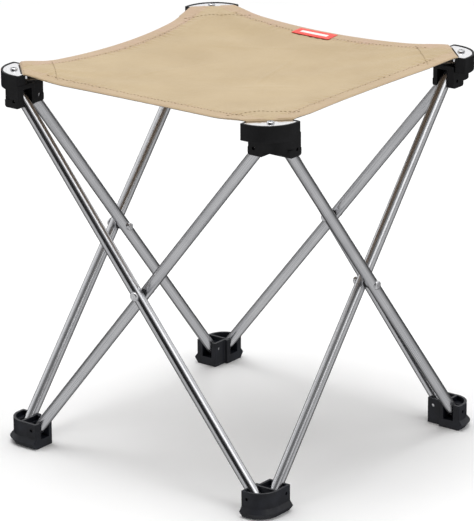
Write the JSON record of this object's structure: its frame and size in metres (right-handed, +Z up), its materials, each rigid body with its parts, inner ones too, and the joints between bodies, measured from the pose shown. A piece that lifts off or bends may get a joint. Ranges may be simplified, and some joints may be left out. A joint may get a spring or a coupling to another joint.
{
  "type": "folding camp stool",
  "caption": "Small square folding camp stool: crossed metal tubes pivoting in corner hubs and feet, with a fabric seat hung from the hubs, folding to a slim bundle.",
  "frame": {"origin": "on the ground under the middle of the seat", "axes": "+Z up, +X to the right, +Y to the back, the side that carries the sewn label; the sides of the seat are parallel to X and Y"},
  "size_m": [0.3108, 0.3108, 0.3403],
  "materials": {
    "tube": "bright anodised, satin",
    "rivet": "satin",
    "washer": "matte",
    "hub": "moulded, slight sheen",
    "foot": "moulded, slight sheen",
    "pin": "zinc plated",
    "plate": "bright, fine brushing",
    "screw": "zinc plated",
    "seat_fabric": "plain woven polyester",
    "tail_fabric": "woven webbing",
    "label": "woven satin"
  },
  "bodies": {
    "front_left_hub": {"hub_front_left": "hub", "hub_pins_front_left": "pin", "cap_plate_front_left": "plate", "cap_screw_front_left": "screw", "seat_tab_front_left": "seat_fabric"},
    "front_right_hub": {"hub_front_right": "hub", "hub_pins_front_right": "pin", "cap_plate_front_right": "plate", "cap_screw_front_right": "screw", "seat_tab_front_right": "seat_fabric"},
    "back_right_hub": {"hub_back_right": "hub", "hub_pins_back_right": "pin", "cap_plate_back_right": "plate", "cap_screw_back_right": "screw", "seat_tab_back_right": "seat_fabric"},
    "back_left_hub": {"hub_back_left": "hub", "hub_pins_back_left": "pin", "cap_plate_back_left": "plate", "cap_screw_back_left": "screw", "seat_tab_back_left": "seat_fabric"},
    "front_left_foot": {"foot_front_left": "foot", "foot_pins_front_left": "pin"},
    "front_right_foot": {"foot_front_right": "foot", "foot_pins_front_right": "pin"},
    "back_right_foot": {"foot_back_right": "foot", "foot_pins_back_right": "pin"},
    "back_left_foot": {"foot_back_left": "foot", "foot_pins_back_left": "pin"},
    "front_outer_leg": {"front_outer_tube": "tube", "crossing_rivet_front": "rivet", "crossing_washer_front": "washer"},
    "right_outer_leg": {"right_outer_tube": "tube", "crossing_rivet_right": "rivet", "crossing_washer_right": "washer"},
    "back_outer_leg": {"back_outer_tube": "tube", "crossing_rivet_back": "rivet", "crossing_washer_back": "washer"},
    "left_outer_leg": {"left_outer_tube": "tube", "crossing_rivet_left": "rivet", "crossing_washer_left": "washer"},
    "front_inner_leg": {"front_inner_tube": "tube"},
    "right_inner_leg": {"right_inner_tube": "tube"},
    "back_inner_leg": {"back_inner_tube": "tube"},
    "left_inner_leg": {"left_inner_tube": "tube"},
    "front_left_seat": {"seat_panel_front_left": "seat_fabric", "seat_tail_front_left": "tail_fabric"},
    "front_right_seat": {"seat_panel_front_right": "seat_fabric", "seat_tail_front_right": "tail_fabric"},
    "back_right_seat": {"seat_panel_back_right": "seat_fabric", "seat_tail_back_right": "tail_fabric"},
    "back_left_seat": {"seat_panel_back_left": "seat_fabric", "seat_tail_back_left": "tail_fabric", "seat_label": "label"}
  },
  "joints": [
    {"name": "fold", "type": "hinge", "parent": "front_left_hub", "child": "front_outer_leg", "pos_m": [-0.12224, -0.14054, 0.3165], "axis": [0, 1, 0], "range_deg": [0, 35]},
    {"name": "front_crossing", "type": "hinge", "parent": "front_outer_leg", "child": "front_inner_leg", "pos_m": [0, -0.13494, 0.1665], "axis": [0, 1, 0], "range_deg": [-70, 0]},
    {"name": "front_right_hub_pivot", "type": "hinge", "parent": "front_inner_leg", "child": "front_right_hub", "pos_m": [0.12224, -0.12934, 0.3165], "axis": [0, 1, 0], "range_deg": [0, 35]},
    {"name": "front_right_foot_pivot", "type": "hinge", "parent": "front_outer_leg", "child": "front_right_foot", "pos_m": [0.12224, -0.14054, 0.0165], "axis": [0, 1, 0], "range_deg": [-35, 0]},
    {"name": "front_left_foot_pivot", "type": "hinge", "parent": "front_inner_leg", "child": "front_left_foot", "pos_m": [-0.12224, -0.12934, 0.0165], "axis": [0, 1, 0], "range_deg": [0, 35]},
    {"name": "left_inner_hub_pivot", "type": "hinge", "parent": "front_left_hub", "child": "left_inner_leg", "pos_m": [-0.12934, -0.12224, 0.3165], "axis": [1, 0, 0], "range_deg": [-35, 0]},
    {"name": "left_crossing", "type": "hinge", "parent": "left_inner_leg", "child": "left_outer_leg", "pos_m": [-0.13494, 0, 0.1665], "axis": [1, 0, 0], "range_deg": [0, 70]},
    {"name": "back_left_hub_pivot", "type": "hinge", "parent": "left_outer_leg", "child": "back_left_hub", "pos_m": [-0.14054, 0.12224, 0.3165], "axis": [1, 0, 0], "range_deg": [-35, 0]},
    {"name": "back_left_foot_pivot", "type": "hinge", "parent": "left_inner_leg", "child": "back_left_foot", "pos_m": [-0.12934, 0.12224, 0.0165], "axis": [1, 0, 0], "range_deg": [0, 35]},
    {"name": "right_outer_hub_pivot", "type": "hinge", "parent": "front_right_hub", "child": "right_outer_leg", "pos_m": [0.14054, -0.12224, 0.3165], "axis": [1, 0, 0], "range_deg": [-35, 0]},
    {"name": "right_crossing", "type": "hinge", "parent": "right_outer_leg", "child": "right_inner_leg", "pos_m": [0.13494, 0, 0.1665], "axis": [1, 0, 0], "range_deg": [0, 70]},
    {"name": "back_right_hub_pivot", "type": "hinge", "parent": "right_inner_leg", "child": "back_right_hub", "pos_m": [0.12934, 0.12224, 0.3165], "axis": [1, 0, 0], "range_deg": [-35, 0]},
    {"name": "back_right_foot_pivot", "type": "hinge", "parent": "right_outer_leg", "child": "back_right_foot", "pos_m": [0.14054, 0.12224, 0.0165], "axis": [1, 0, 0], "range_deg": [0, 35]},
    {"name": "back_outer_hub_pivot", "type": "hinge", "parent": "back_right_hub", "child": "back_outer_leg", "pos_m": [0.12224, 0.14054, 0.3165], "axis": [0, 1, 0], "range_deg": [-35, 0]},
    {"name": "back_inner_hub_pivot", "type": "hinge", "parent": "back_left_hub", "child": "back_inner_leg", "pos_m": [-0.12224, 0.12934, 0.3165], "axis": [0, 1, 0], "range_deg": [0, 35]},
    {"name": "front_left_seat_bend", "type": "hinge", "parent": "front_left_hub", "child": "front_left_seat", "pos_m": [-0.11757, -0.11757, 0.33985], "axis": [-0.7071, 0.7071, 0], "range_deg": [0, 82.87], "deforming": ["seat_panel_front_left", "seat_tail_front_left"]},
    {"name": "front_right_seat_bend", "type": "hinge", "parent": "front_right_hub", "child": "front_right_seat", "pos_m": [0.11757, -0.11757, 0.33985], "axis": [-0.7071, -0.7071, 0], "range_deg": [0, 82.87], "deforming": ["seat_panel_front_right", "seat_tail_front_right"]},
    {"name": "back_right_seat_bend", "type": "hinge", "parent": "back_right_hub", "child": "back_right_seat", "pos_m": [0.11757, 0.11757, 0.33985], "axis": [0.7071, -0.7071, 0], "range_deg": [0, 82.87], "deforming": ["seat_panel_back_right", "seat_tail_back_right"]},
    {"name": "back_left_seat_bend", "type": "hinge", "parent": "back_left_hub", "child": "back_left_seat", "pos_m": [-0.11757, 0.11757, 0.33985], "axis": [0.7071, 0.7071, 0], "range_deg": [0, 82.87], "deforming": ["seat_panel_back_left", "seat_tail_back_left", "seat_label"]}
  ],
  "couplings": [
    {"joint": "front_crossing", "follows": "fold", "ratio": -2},
    {"joint": "front_right_hub_pivot", "follows": "fold", "ratio": 1},
    {"joint": "front_right_foot_pivot", "follows": "fold", "ratio": -1},
    {"joint": "front_left_foot_pivot", "follows": "fold", "ratio": 1},
    {"joint": "left_inner_hub_pivot", "follows": "fold", "ratio": -1},
    {"joint": "left_crossing", "follows": "fold", "ratio": 2},
    {"joint": "back_left_hub_pivot", "follows": "fold", "ratio": -1},
    {"joint": "back_left_foot_pivot", "follows": "fold", "ratio": 1},
    {"joint": "right_outer_hub_pivot", "follows": "fold", "ratio": -1},
    {"joint": "right_crossing", "follows": "fold", "ratio": 2},
    {"joint": "back_right_hub_pivot", "follows": "fold", "ratio": -1},
    {"joint": "back_right_foot_pivot", "follows": "fold", "ratio": 1},
    {"joint": "back_outer_hub_pivot", "follows": "fold", "ratio": -1},
    {"joint": "back_inner_hub_pivot", "follows": "fold", "ratio": 1},
    {"joint": "front_left_seat_bend", "follows": "fold", "ratio": 2.3678},
    {"joint": "front_right_seat_bend", "follows": "fold", "ratio": 2.3678},
    {"joint": "back_right_seat_bend", "follows": "fold", "ratio": 2.3678},
    {"joint": "back_left_seat_bend", "follows": "fold", "ratio": 2.3678}
  ]
}
